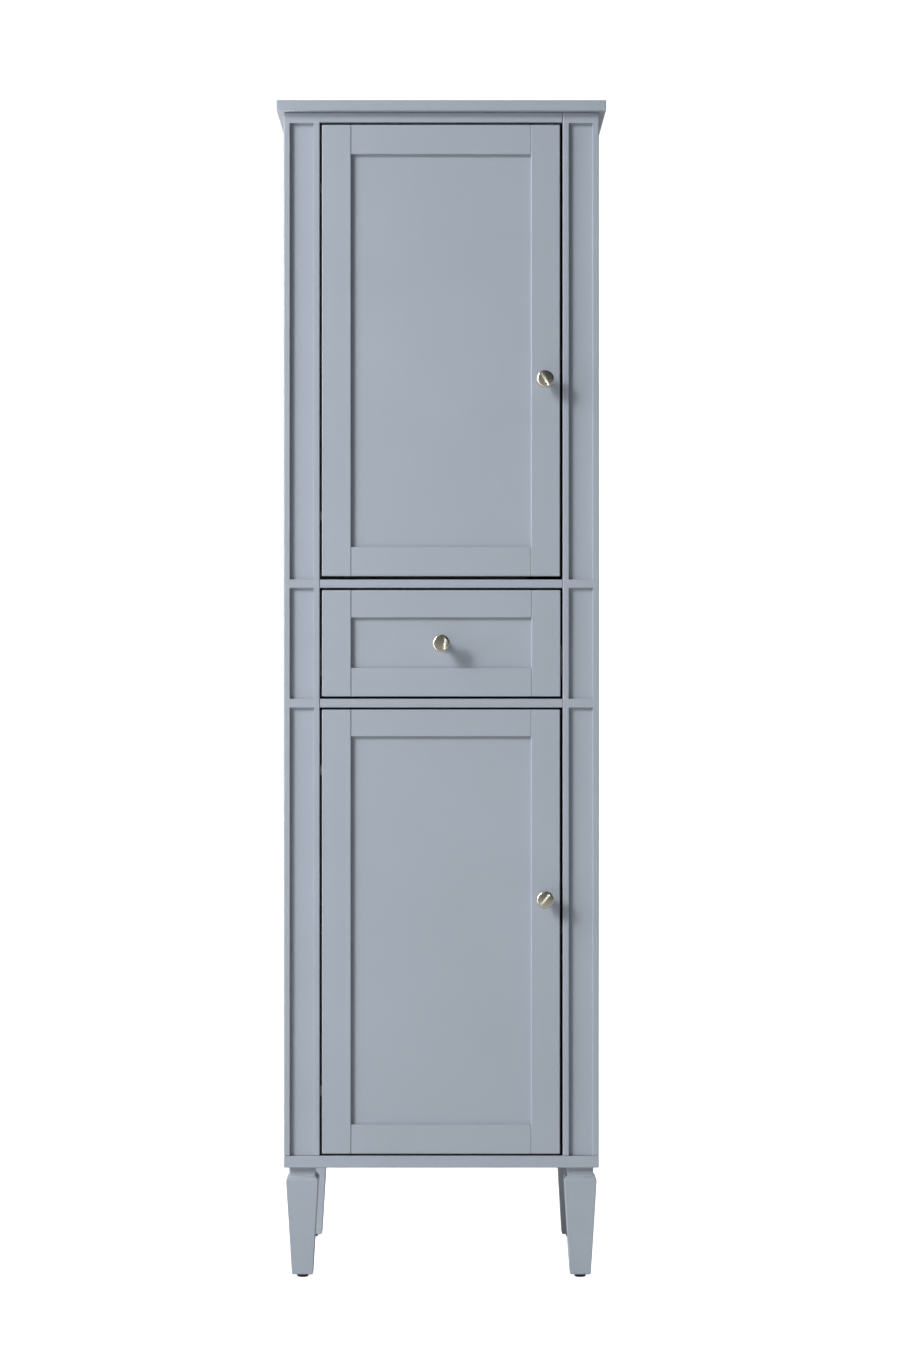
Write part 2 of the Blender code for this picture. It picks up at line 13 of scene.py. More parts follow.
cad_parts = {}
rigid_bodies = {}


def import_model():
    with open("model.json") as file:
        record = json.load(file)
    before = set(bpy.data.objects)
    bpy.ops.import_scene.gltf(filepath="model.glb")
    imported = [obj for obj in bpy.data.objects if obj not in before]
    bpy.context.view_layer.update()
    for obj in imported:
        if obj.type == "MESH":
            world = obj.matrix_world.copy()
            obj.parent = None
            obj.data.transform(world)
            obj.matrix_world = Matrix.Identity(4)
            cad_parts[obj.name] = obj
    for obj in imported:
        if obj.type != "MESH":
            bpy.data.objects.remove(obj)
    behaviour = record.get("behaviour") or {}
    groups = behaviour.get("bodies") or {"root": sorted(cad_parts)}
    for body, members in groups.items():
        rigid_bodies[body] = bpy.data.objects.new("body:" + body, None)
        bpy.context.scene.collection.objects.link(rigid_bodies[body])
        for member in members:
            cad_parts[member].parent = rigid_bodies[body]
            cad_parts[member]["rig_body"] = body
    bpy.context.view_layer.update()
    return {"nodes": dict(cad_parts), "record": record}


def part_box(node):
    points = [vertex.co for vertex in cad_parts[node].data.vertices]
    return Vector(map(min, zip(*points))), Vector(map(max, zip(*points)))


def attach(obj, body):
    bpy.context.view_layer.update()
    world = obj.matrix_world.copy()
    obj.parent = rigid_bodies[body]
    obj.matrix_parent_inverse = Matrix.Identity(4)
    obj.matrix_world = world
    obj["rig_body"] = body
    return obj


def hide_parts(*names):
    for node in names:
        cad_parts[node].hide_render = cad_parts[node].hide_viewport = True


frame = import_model()
NODES = frame["nodes"]
SLOT_OF = {part["node"]: part["material_slot"] for part in frame["record"]["subparts"]}

# Places taken from the frame
DOOR_LOW, DOOR_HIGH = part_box("upper_door_hinge_stile")
FACE_Y = DOOR_LOW.y
DOOR_BACK_Y = DOOR_HIGH.y
BACK_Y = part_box("back_panel")[1].y
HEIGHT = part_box("top_panel")[1].z

# Directions
FRONT = (0, -1, 0)
BACK = (0, 1, 0)

# Camera: level, in front of the doors, as far off as the photograph's perspective says
CAMERA_X = 0.0128
CAMERA_HEIGHT = 0.889
CAMERA_DISTANCE = 4.319
CAMERA_LENS = 78.4
CAMERA_SENSOR = 36.0
CAMERA_CLIP_END = 60.0

# Refined edges and joints
BOARD_EDGE_RADIUS = 0.0005
STEEL_EDGE_RADIUS = 0.00025
MERGE_DISTANCE = 0.00001
FLAT_DEGREES = 0.5
BEVEL_DEGREES = 28
SMOOTH_DEGREES = 35
JOINT_HALF_GAP = 0.00015
JOINT_SET_BACK = 0.00003
JOINT_LOW_CLEARANCE = 0.0006

# Knobs: the face is a shallow crown inside a rounded rim
KNOB_RIM = 0.0034
KNOB_CROWN = 0.0007
KNOB_FACE_RINGS = 6
KNOB_STEPS = 96
KNOB_SMOOTH_DEGREES = 50
KNOB_GLINT_DEGREES = {"upper_door_knob": 120, "drawer_knob": 84, "lower_door_knob": 50}

# Shelf pins and the rows of holes for them
PIN_RADIUS = 0.0025
PIN_LENGTH = 0.0100
PIN_TIP_RADIUS = 0.0006
PIN_FLANGE = 0.0012
PIN_FLANGE_EDGE = 0.0014
PIN_INSET = 0.030
PIN_HOLE_DEPTH = 0.009
PIN_HOLE_PITCH = 0.032
PIN_HOLES_EACH_WAY = 4

# Screw heads: radius and height. The cross recess is in shares of them
WOOD_SCREW_SIZE = (0.0030, 0.0011)
BACK_SCREW_SIZE = (0.0032, 0.0008)
KNOB_BOLT_SIZE = (0.0045, 0.0018)
RECESS_REACH = 0.55
RECESS_HALF_WIDTH = 0.13
RECESS_FLOOR = 0.35
BACK_SCREW_INSET = 0.010
BACK_SCREWS_UP = 8
COUNTERSINK_GAP = 0.0003
COUNTERSINK_DEPTH = 0.0009
CUTTER_RISE = 0.001
HINGE_SCREW_RISE = 0.016
HINGE_ARM_SCREW_INSET = 0.012
HINGE_CUP_SCREW_INSET = -0.0085
DRAWER_SCREWS_ACROSS = (-0.11, 0.11)
DRAWER_SCREWS_UP = (-0.025, 0.030)

# Colours, as linear values
WHITE = (1.0, 1.0, 1.0)
WARM = (1.0, 0.93, 0.85)
PAINT_COLOUR = (0.330, 0.369, 0.426)
NICKEL_COLOUR = (0.66, 0.63, 0.53)
ZINC_COLOUR = (0.62, 0.63, 0.65)
SCREW_COLOUR = (0.56, 0.55, 0.53)
WOOD_LIGHT = (0.66, 0.47, 0.29)
WOOD_DARK = (0.50, 0.33, 0.18)
BLACK_COLOUR = (0.012, 0.012, 0.013)

# The room's fill is stronger from the left. The background and the floor look white to the camera, but hardly
# light the cabinet
FILL_COLOUR = (0.98, 0.99, 1.0)
FILL_LEFT = 0.33
FILL_RIGHT = 0.03
FILL_DIRECTION = (-0.97, 0.0, -0.20)
FILL_TURNS_FROM = -0.35
FILL_TURNS_TO = 0.55
BACKGROUND_WHITE = 1.05
FLOOR_SIZE = 14.0
FLOOR_NEAR = 0.5
FLOOR_FAR = 2.6
FLOOR_GLOW_NEAR = 0.90
FLOOR_GLOW_FAR = 1.02
FLOOR_GLOW_ON_CABINET = 0.08
FLOOR_DARK_TONE = 0.53
FLOOR_LIGHT_TONE = 0.55

# Softboxes: name, place, the point it faces, size, power in watts, colour, width of its beam in degrees
MIDDLE = (0.0, FACE_Y, 0.95)
UPPER_DOOR = (0.0, FACE_Y, 1.3)
BOTTOM = (0.0, FACE_Y, 0.15)
RIGHT_EDGE = (0.15, FACE_Y, 0.95)
LEFT_SIDE = (0.0, FACE_Y + 0.1, 0.9)
SLAB_UNDERSIDE = (-0.26, 0.0, HEIGHT)
BACK_MIDDLE = (0.0, BACK_Y, 0.9)
SOFTBOXES = (
    ("key_softbox", (-10.5, FACE_Y - 9.0, 8.2), MIDDLE, (3.1, 4.2), 1975.0, WHITE, 180),
    ("side_softbox", (-1.4, FACE_Y - 0.66, 1.5), UPPER_DOOR, (0.5, 1.5), 15.0, WHITE, 180),
    ("low_softbox", (-1.0, FACE_Y - 1.1, 0.2), BOTTOM, (0.3, 0.2), 2.2, WHITE, 180),
    ("glint_panel", (0.75, FACE_Y - 4.8, 0.82), RIGHT_EDGE, (0.12, 0.12), 8.5, WHITE, 180),
    ("right_kicker", (1.6, FACE_Y + 0.3, 0.8), RIGHT_EDGE, (0.15, 1.0), 1.0, WARM, 180),
    ("left_strip", (-2.4, FACE_Y + 0.1, 1.0), LEFT_SIDE, (0.45, 1.8), 11.0, WARM, 180),
    ("floor_bounce", (-0.46, 0.0, 0.02), SLAB_UNDERSIDE, (0.3, 0.36), 1.35, WARM, 40),
    ("back_softbox", (2.0, BACK_Y + 3.0, 2.6), BACK_MIDDLE, (2.0, 2.0), 110.0, WHITE, 180),
)


# ---------------------------------------------------------------- materials


class Nodes:
    """A short way to build one material's node tree."""

    def __init__(self, name):
        self.material = bpy.data.materials.new(name)
        self.material.use_nodes = True
        self.tree = self.material.node_tree
        self.shader = self.tree.nodes["Principled BSDF"]
        coords = self.tree.nodes.new("ShaderNodeTexCoord")
        self.place = coords.outputs["Object"]

    def set(self, **values):
        for key, value in values.items():
            self.shader.inputs[key.replace("_", " ")].default_value = value

    def link(self, source, target):
        self.tree.links.new(source, target)

    def to(self, socket, source):
        self.link(source, self.shader.inputs[socket])

    def scaled(self, scale):
        mapping = self.tree.nodes.new("ShaderNodeMapping")
        mapping.inputs["Scale"].default_value = scale
        self.link(self.place, mapping.inputs["Vector"])
        return mapping.outputs["Vector"]

    def noise(self, scale, detail=2.0, stretch=None, roughness=0.5, place=None):
        """A stretch below 1 along an axis draws the pattern out along it."""
        node = self.tree.nodes.new("ShaderNodeTexNoise")
        node.inputs["Scale"].default_value = scale
        node.inputs["Detail"].default_value = detail
        node.inputs["Roughness"].default_value = roughness
        if place is None:
            place = self.scaled(stretch) if stretch else self.place
        self.link(place, node.inputs["Vector"])
        return node.outputs["Fac"]

    def ramp(self, source, stops):
        node = self.tree.nodes.new("ShaderNodeValToRGB")
        elements = node.color_ramp.elements
        for index, (place, colour) in enumerate(stops):
            element = elements[index] if index < 2 else elements.new(place)
            element.position = place
            element.color = (*colour, 1.0)
        self.link(source, node.inputs["Fac"])
        return node.outputs["Color"]

    def remap(self, source, low, high, from_low=0.3, from_high=0.7):
        """The source as a value from low to high. Noise lies mostly between 0.3 and 0.7."""
        node = self.tree.nodes.new("ShaderNodeMapRange")
        node.inputs["From Min"].default_value = from_low
        node.inputs["From Max"].default_value = from_high
        node.inputs["To Min"].default_value = low
        node.inputs["To Max"].default_value = high
        self.link(source, node.inputs["Value"])
        return node.outputs["Result"]

    def multiply(self, first, second):
        """One colour times another. The mix node takes colours at its inputs 6 and 7, and its output 2."""
        node = self.tree.nodes.new("ShaderNodeMix")
        node.data_type = "RGBA"
        node.blend_type = "MULTIPLY"
        node.inputs[0].default_value = 1.0
        self.link(first, node.inputs[6])
        self.link(second, node.inputs[7])
        return node.outputs[2]

    def bump(self, height, strength, distance, under=None):
        node = self.tree.nodes.new("ShaderNodeBump")
        node.inputs["Strength"].default_value = strength
        node.inputs["Distance"].default_value = distance
        self.link(height, node.inputs["Height"])
        if under is not None:
            self.link(under, node.inputs["Normal"])
        return node.outputs["Normal"]


def shade(colour, factor):
    return tuple(min(1.0, channel * factor) for channel in colour)


def paint_material(name, grain):
    """Sprayed satin paint: cloudy tone, fine orange peel, and a trace of the wood grain along the board."""
    nodes = Nodes(name)
    clouds = nodes.noise(scale=5.0, detail=3.0)
    tone = nodes.ramp(clouds, [(0.30, shade(PAINT_COLOUR, 0.975)), (0.70, shade(PAINT_COLOUR, 1.022))])
    flecks = nodes.noise(scale=420.0)
    speckle = nodes.ramp(flecks, [(0.35, shade(WHITE, 0.985)), (0.65, WHITE)])
    sheen = nodes.noise(scale=60.0, detail=3.0)
    peel = nodes.bump(nodes.noise(scale=900.0, detail=1.0), strength=0.10, distance=0.00012)
    wood = nodes.noise(scale=90.0, detail=4.0, stretch=grain)
    nodes.to("Base Color", nodes.multiply(tone, speckle))
    nodes.to("Roughness", nodes.remap(sheen, low=0.36, high=0.46))
    nodes.to("Normal", nodes.bump(wood, strength=0.12, distance=0.00010, under=peel))
    nodes.set(Specular_IOR_Level=0.45)
    return nodes.material


def wood_material(name, grain):
    """Varnished light hardwood. grain stretches the pattern along the board."""
    nodes = Nodes(name)
    rings = nodes.noise(scale=38.0, detail=6.0, stretch=grain, roughness=0.62)
    fibres = nodes.noise(scale=420.0, detail=3.0, stretch=grain, roughness=0.6)
    base = nodes.ramp(rings, [(0.34, WOOD_DARK), (0.52, WOOD_LIGHT), (0.68, shade(WOOD_LIGHT, 1.12))])
    streaks = nodes.ramp(fibres, [(0.34, (0.80, 0.76, 0.70)), (0.58, WHITE)])
    nodes.to("Base Color", nodes.multiply(base, streaks))
    nodes.to("Roughness", nodes.remap(fibres, low=0.40, high=0.56))
    nodes.to("Normal", nodes.bump(fibres, strength=0.25, distance=0.00015))
    return nodes.material


def metal_material(name, colour, roughness, stretch):
    """Plated metal with fine lines, which the stretch draws out."""
    nodes = Nodes(name)
    lines = nodes.noise(scale=900.0, detail=3.0, stretch=stretch)
    patches = nodes.noise(scale=45.0)
    nodes.to("Base Color", nodes.ramp(patches, [(0.3, shade(colour, 0.94)), (0.7, shade(colour, 1.04))]))
    nodes.to("Roughness", nodes.remap(lines, low=roughness - 0.06, high=roughness + 0.08))
    nodes.to("Normal", nodes.bump(lines, strength=0.10, distance=0.00004))
    nodes.set(Metallic=1.0)
    return nodes.material


def plastic_material(name, colour, roughness):
    """Moulded plastic with a fine grain."""
    nodes = Nodes(name)
    grain = nodes.noise(scale=1400.0)
    nodes.to("Base Color", nodes.ramp(grain, [(0.35, shade(colour, 0.85)), (0.65, shade(colour, 1.15))]))
    nodes.to("Roughness", nodes.remap(grain, low=roughness - 0.05, high=roughness + 0.07))
    nodes.to("Normal", nodes.bump(grain, strength=0.2, distance=0.00006))
    return nodes.material


GRAIN = {"X": (0.06, 1.0, 1.0), "Y": (1.0, 0.06, 1.0), "Z": (1.0, 1.0, 0.06)}
PAINT = {axis: paint_material(f"satin_paint_{axis.lower()}", GRAIN[axis]) for axis in GRAIN}
WOOD = {axis: wood_material(f"light_wood_{axis.lower()}", GRAIN[axis]) for axis in GRAIN}
ZINC = metal_material("bright_zinc", ZINC_COLOUR, roughness=0.34, stretch=(1.0, 0.05, 1.0))
SCREW_STEEL = metal_material("screw_steel", SCREW_COLOUR, roughness=0.30, stretch=(1.0, 1.0, 1.0))
BLACK = plastic_material("black_moulded", BLACK_COLOUR, roughness=0.45)


# ---------------------------------------------------------------- mesh tools


def add_piece(name, mesh, material, body, stands_for=()):
    """Links a finished mesh, which is in the CAD model's frame, and ties it to its body."""
    piece = bpy.data.objects.new(name, mesh)
    bpy.context.scene.collection.objects.link(piece)
    mesh.materials.clear()
    mesh.materials.append(material)
    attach(piece, body)
    if stands_for:
        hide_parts(*stands_for)


def mesh_of(name, bm, smooth_degrees=SMOOTH_DEGREES):
    mesh = bpy.data.meshes.new(name)
    bm.to_mesh(mesh)
    bm.free()
    mesh.shade_smooth()
    mesh.set_sharp_from_angle(angle=math.radians(smooth_degrees))
    return mesh


def applied(name, mesh, build):
    """The mesh after the modifiers that build() puts on a temporary object."""
    temporary = bpy.data.objects.new(f"{name}_temporary", mesh)
    bpy.context.scene.collection.objects.link(temporary)
    build(temporary)
    graph = bpy.context.evaluated_depsgraph_get()
    result = bpy.data.meshes.new_from_object(temporary.evaluated_get(graph))
    bpy.data.objects.remove(temporary)
    result.name = name
    return result


def cut_out(obj, cutter):
    """Puts a modifier on obj that takes the cutter's shape out of it."""
    boolean = obj.modifiers.new("cut", "BOOLEAN")
    boolean.solver = "EXACT"
    boolean.object = cutter


def plain_mesh(node):
    """A CAD node's mesh with its triangles merged back into flat faces."""
    bm = bmesh.new()
    bm.from_mesh(NODES[node].data)
    bmesh.ops.remove_doubles(bm, verts=bm.verts, dist=MERGE_DISTANCE)
    bmesh.ops.dissolve_limit(
        bm, angle_limit=math.radians(FLAT_DEGREES), verts=bm.verts, edges=bm.edges
    )
    mesh = bpy.data.meshes.new(f"{node}_plain")
    bm.to_mesh(mesh)
    bm.free()
    mesh.shade_smooth()
    return mesh


def refined_mesh(node, radius, segments, subtract=None):
    """A CAD node's shape with rounded edges, after the subtract object's shape is taken out of it."""

    def build(obj):
        if subtract is not None:
            cut_out(obj, subtract)
        bevel = obj.modifiers.new("edges", "BEVEL")
        bevel.width = radius
        bevel.segments = segments
        bevel.limit_method = "ANGLE"
        bevel.angle_limit = math.radians(BEVEL_DEGREES)
        bevel.use_clamp_overlap = True
        flats = obj.modifiers.new("flat faces", "WEIGHTED_NORMAL")
        flats.weight = 100

    return applied(f"{node}_fine", plain_mesh(node), build)


def long_axis(node):
    low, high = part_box(node)
    size = high - low
    return "XYZ"[max(range(3), key=lambda index: size[index])]


def body_of(node):
    return NODES[node]["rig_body"]


def refine(node, family, subtract=None):
    """Stands a board with rounded edges in for its CAD node, with the grain along its longest side."""
    mesh = refined_mesh(node, BOARD_EDGE_RADIUS, segments=3, subtract=subtract)
    add_piece(f"{node}_fine", mesh, family[long_axis(node)], body_of(node), (node,))


def at(point, normal):
    """Takes a shape that stands on the origin along +Z to this point, along this normal."""
    turn = Vector((0, 0, 1)).rotation_difference(Vector(normal))
    return Matrix.Translation(Vector(point)) @ turn.to_matrix().to_4x4()


def arc(centre, radius, start, end, steps):
    """Points on an arc in (radius, height), by angle in degrees from the outward direction."""
    points = []
    for step in range(steps + 1):
        turn = math.radians(start + (end - start) * step / steps)
        points.append((centre[0] + radius * math.cos(turn), centre[1] + radius * math.sin(turn)))
    return points


def turned(name, profile, steps=24, matrix=Matrix.Identity(4), smooth_degrees=SMOOTH_DEGREES):
    """A turned shape. The profile's points are (radius, height), from one pole to the other."""
    bm = bmesh.new()
    rings = []
    for radius, height in profile:
        if radius == 0.0:
            rings.append([bm.verts.new(matrix @ Vector((0, 0, height)))])
            continue
        ring = []
        for step in range(steps):
            turn = 2 * math.pi * step / steps
            point = Vector((radius * math.cos(turn), radius * math.sin(turn), height))
            ring.append(bm.verts.new(matrix @ point))
        rings.append(ring)
    for first, second in zip(rings, rings[1:]):
        for step in range(steps):
            after = (step + 1) % steps
            if len(first) == 1:
                bm.faces.new((first[0], second[after], second[step]))
            elif len(second) == 1:
                bm.faces.new((first[step], first[after], second[0]))
            else:
                bm.faces.new((first[step], first[after], second[after], second[step]))
    bmesh.ops.recalc_face_normals(bm, faces=bm.faces)
    return mesh_of(name, bm, smooth_degrees)


def joined_copies(name, mesh, places):
    """One mesh made of a copy of this mesh at each place."""
    bm = bmesh.new()
    for place in places:
        copy = mesh.copy()
        copy.transform(place)
        bm.from_mesh(copy)
        bpy.data.meshes.remove(copy)
    return mesh_of(name, bm)


# ---------------------------------------------------------------- light, floor, camera


def make_stage():
    """A pale floor that grows brighter away from the cabinet, until it meets the white background."""
    bm = bmesh.new()
    bmesh.ops.create_grid(bm, x_segments=4, y_segments=4, size=FLOOR_SIZE)
    floor = bpy.data.objects.new("studio_floor", mesh_of("studio_floor", bm))
    nodes = Nodes("pale_floor")
    distance = nodes.tree.nodes.new("ShaderNodeVectorMath")
    distance.operation = "LENGTH"
    nodes.link(nodes.place, distance.inputs[0])
    seen = nodes.remap(distance.outputs["Value"], FLOOR_GLOW_NEAR, FLOOR_GLOW_FAR, FLOOR_NEAR, FLOOR_FAR)
    rays = nodes.tree.nodes.new("ShaderNodeLightPath")
    glow = nodes.tree.nodes.new("ShaderNodeMix")
    glow.inputs["A"].default_value = FLOOR_GLOW_ON_CABINET
    nodes.link(rays.outputs["Is Camera Ray"], glow.inputs["Factor"])
    nodes.link(seen, glow.inputs["B"])
    tones = [(0.3, shade(WHITE, FLOOR_DARK_TONE)), (0.7, shade(WHITE, FLOOR_LIGHT_TONE))]
    nodes.to("Base Color", nodes.ramp(nodes.noise(scale=0.8), tones))
    nodes.to("Emission Strength", glow.outputs["Result"])
    nodes.set(Roughness=0.9, Emission_Color=(*WHITE, 1.0))
    floor.data.materials.append(nodes.material)
    bpy.context.scene.collection.objects.link(floor)


def add_softbox(name, place, target, size, power, colour, spread):
    light = bpy.data.lights.new(name, "AREA")
    light.shape = "RECTANGLE"
    light.size, light.size_y = size
    light.energy = power
    light.color = colour
    light.spread = math.radians(spread)
    obj = bpy.data.objects.new(name, light)
    obj.location = place
    obj.rotation_euler = (Vector(target) - Vector(place)).to_track_quat("-Z", "Y").to_euler()
    bpy.context.scene.collection.objects.link(obj)


def make_world():
    """Fill that is stronger from the left, and a white background that only the camera sees."""
    world = bpy.data.worlds.new("studio")
    bpy.context.scene.world = world
    world.use_nodes = True
    tree = world.node_tree
    fill = tree.nodes["Background"]
    fill.inputs["Color"].default_value = (*FILL_COLOUR, 1.0)
    coords = tree.nodes.new("ShaderNodeTexCoord")
    across = tree.nodes.new("ShaderNodeVectorMath")
    across.operation = "DOT_PRODUCT"
    across.inputs[1].default_value = FILL_DIRECTION
    swing = tree.nodes.new("ShaderNodeMapRange")
    swing.interpolation_type = "SMOOTHSTEP"
    swing.inputs["From Min"].default_value = FILL_TURNS_FROM
    swing.inputs["From Max"].default_value = FILL_TURNS_TO
    swing.inputs["To Min"].default_value = FILL_RIGHT
    swing.inputs["To Max"].default_value = FILL_LEFT
    tree.links.new(coords.outputs["Generated"], across.inputs[0])
    tree.links.new(across.outputs["Value"], swing.inputs["Value"])
    tree.links.new(swing.outputs["Result"], fill.inputs["Strength"])
    white = tree.nodes.new("ShaderNodeBackground")
    white.inputs["Color"].default_value = (*WHITE, 1.0)
    white.inputs["Strength"].default_value = BACKGROUND_WHITE
    rays = tree.nodes.new("ShaderNodeLightPath")
    chooser = tree.nodes.new("ShaderNodeMixShader")
    tree.links.new(rays.outputs["Is Camera Ray"], chooser.inputs["Fac"])
    tree.links.new(fill.outputs["Background"], chooser.inputs[1])
    tree.links.new(white.outputs["Background"], chooser.inputs[2])
    tree.links.new(chooser.outputs["Shader"], tree.nodes["World Output"].inputs["Surface"])


def make_camera():
    data = bpy.data.cameras.new("camera")
    data.lens = CAMERA_LENS
    data.sensor_width = CAMERA_SENSOR
    data.clip_end = CAMERA_CLIP_END
    camera = bpy.data.objects.new("camera", data)
    camera.location = (CAMERA_X, FACE_Y - CAMERA_DISTANCE, CAMERA_HEIGHT)
    camera.rotation_euler = (math.radians(90), 0, 0)
    bpy.context.scene.collection.objects.link(camera)
    bpy.context.scene.camera = camera
    bpy.context.scene.view_settings.view_transform = "Standard"


make_camera()
make_world()
for softbox in SOFTBOXES:
    add_softbox(*softbox)
make_stage()


# ---------------------------------------------------------------- boards


def bored(node, hole, places):
    """Refines a board after taking a hole out of it at each place."""
    cutter = bpy.data.objects.new(f"{node}_holes", joined_copies(f"{node}_holes", hole, places))
    bpy.context.scene.collection.objects.link(cutter)
    refine(node, PAINT, subtract=cutter)
    bpy.data.objects.remove(cutter)


def plug(name, radius, depth):
    """A round cutter that stands a little out of the surface and goes this deep into it."""
    return turned(name, [(0.0, CUTTER_RISE), (radius, CUTTER_RISE), (radius, -depth), (0.0, -depth)])


def shelf_pin_spots(shelf, side):
    """Where the two pins under one end of a shelf leave the side panel."""
    low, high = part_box(shelf)
    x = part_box("left_side_panel")[1].x if side < 0 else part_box("right_side_panel")[0].x
    return [Vector((x, y, low.z - PIN_RADIUS)) for y in (low.y + PIN_INSET, high.y - PIN_INSET)]


def pin_hole_spots(side):
    """Rows of holes above and below each shelf pin, so that the shelf can be moved."""
    spots = []
    for shelf in ("upper_shelf", "lower_shelf"):
        for spot in shelf_pin_spots(shelf, side):
            for step in range(-PIN_HOLES_EACH_WAY, PIN_HOLES_EACH_WAY + 1):
                spots.append(spot + Vector((0, 0, step * PIN_HOLE_PITCH)))
    return spots


def back_screw_spots():
    """Along both upright edges of the back panel, and one in the middle of its top and bottom."""
    low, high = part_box("back_panel")
    lowest, highest = low.z + BACK_SCREW_INSET, high.z - BACK_SCREW_INSET
    spots = []
    for step in range(BACK_SCREWS_UP):
        z = lowest + (highest - lowest) * step / (BACK_SCREWS_UP - 1)
        for x in (low.x + BACK_SCREW_INSET, high.x - BACK_SCREW_INSET):
            spots.append(Vector((x, BACK_Y, z)))
    return spots + [Vector((0.0, BACK_Y, z)) for z in (lowest, highest)]


PIN_HOLE = plug("pin_hole", PIN_RADIUS, PIN_HOLE_DEPTH)
COUNTERSINK = plug("countersink", BACK_SCREW_SIZE[0] + COUNTERSINK_GAP, COUNTERSINK_DEPTH)
BORED_BOARDS = ("left_side_panel", "right_side_panel", "back_panel")

for side, panel in ((-1, "left_side_panel"), (1, "right_side_panel")):
    bored(panel, PIN_HOLE, [at(spot, (-side, 0, 0)) for spot in pin_hole_spots(side)])
bored("back_panel", COUNTERSINK, [at(spot, BACK) for spot in back_screw_spots()])

for node in NODES:
    if node in BORED_BOARDS:
        continue
    if SLOT_OF[node] == "paint":
        refine(node, PAINT)
    elif SLOT_OF[node] == "light_wood":
        refine(node, WOOD)


def fill_joint(name, node, seam_x, low_z, high_z):
    """Paint that bridges an upright joint between two boards, so that it doesn't show as a line."""
    wide, narrow, deep = 0.0013, 0.0004, 0.0012
    front_y = FACE_Y + JOINT_SET_BACK
    outline = [(-wide, front_y), (wide, front_y), (narrow, front_y + deep), (-narrow, front_y + deep)]
    bm = bmesh.new()
    rings = []
    for z in (low_z, high_z):
        rings.append([bm.verts.new((seam_x + x, y, z)) for x, y in outline])
    bm.faces.new(list(reversed(rings[0])))
    bm.faces.new(rings[1])
    for step in range(len(outline)):
        after = (step + 1) % len(outline)
        bm.faces.new((rings[0][step], rings[0][after], rings[1][after], rings[1][step]))
    bmesh.ops.recalc_face_normals(bm, faces=bm.faces)
    add_piece(name, mesh_of(name, bm), PAINT["Z"], body_of(node))


RAIL_LOW, RAIL_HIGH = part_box("top_rail")
fill_joint(
    "top_rail_joint_fill",
    "top_rail",
    RAIL_LOW.x - JOINT_HALF_GAP,
    RAIL_LOW.z + JOINT_LOW_CLEARANCE,
    RAIL_HIGH.z,
)


# ---------------------------------------------------------------- knobs


def knob_material(name, glint_degrees):
    """Brushed nickel: scratches run straight across the face, so that it glints in a line across them."""
    turn = math.radians(glint_degrees)
    nodes = Nodes(name)
    mapping = nodes.tree.nodes.new("ShaderNodeMapping")
    mapping.vector_type = "TEXTURE"
    mapping.inputs["Rotation"].default_value = (0.0, -turn, 0.0)
    mapping.inputs["Scale"].default_value = (1.0, 14.0, 14.0)
    nodes.link(nodes.place, mapping.inputs["Vector"])
    scratches = nodes.noise(scale=2600.0, place=mapping.outputs["Vector"])
    glint = nodes.tree.nodes.new("ShaderNodeCombineXYZ")
    glint.inputs["X"].default_value = math.cos(turn)
    glint.inputs["Z"].default_value = math.sin(turn)
    nodes.to("Tangent", glint.outputs["Vector"])
    nodes.to("Base Color", nodes.ramp(scratches, [(0.3, shade(NICKEL_COLOUR, 0.86)), (0.7, NICKEL_COLOUR)]))
    nodes.to("Roughness", nodes.remap(scratches, low=0.21, high=0.28))
    nodes.to("Normal", nodes.bump(scratches, strength=0.12, distance=0.00003))
    nodes.set(Metallic=1.0, Anisotropic=1.0)
    return nodes.material


def knob_profile(reach, radius):
    """From the middle of the face, over the rim, down the waist and out to the foot."""
    face_radius = radius - KNOB_RIM
    face = [(0.0, reach)]
    for step in range(1, KNOB_FACE_RINGS + 1):
        share = step / KNOB_FACE_RINGS
        face.append((face_radius * share, reach - KNOB_CROWN * share * share))
    rim = arc((face_radius, reach - KNOB_CROWN - KNOB_RIM), KNOB_RIM, 80, -15, 8)
    head_underside = arc((radius - 0.0095, reach - 0.0055), 0.0090, -8, -58, 6)
    waist = arc((0.0108, reach - 0.0185), 0.0065, 128, 200, 8)
    flare = [(0.0050, 0.0050), (0.0062, 0.0034), (0.0076, 0.0026)]
    foot = arc((0.0071, 0.0016), 0.0009, 60, -60, 5)
    sole = [(0.0070, 0.0003), (0.0, 0.0003)]
    return face + rim + head_underside + waist + flare + foot + sole


def make_knob(node, glint_degrees):
    low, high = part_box(node)
    centre = ((low.x + high.x) / 2, FACE_Y, (low.z + high.z) / 2)
    profile = knob_profile(FACE_Y - low.y, (high.x - low.x) / 2)
    name = f"{node}_turned"
    mesh = turned(name, profile, KNOB_STEPS, at(centre, FRONT), KNOB_SMOOTH_DEGREES)
    material = knob_material(f"brushed_nickel_{node}", glint_degrees)
    add_piece(name, mesh, material, body_of(node), (node,))


for knob, glint_degrees in KNOB_GLINT_DEGREES.items():
    make_knob(knob, glint_degrees)


# ---------------------------------------------------------------- hinges, slides, screws, pins, glides

for node in NODES:
    if SLOT_OF[node] == "zinc_steel":
        mesh = refined_mesh(node, STEEL_EDGE_RADIUS, segments=2)
        add_piece(f"{node}_fine", mesh, ZINC, body_of(node), (node,))


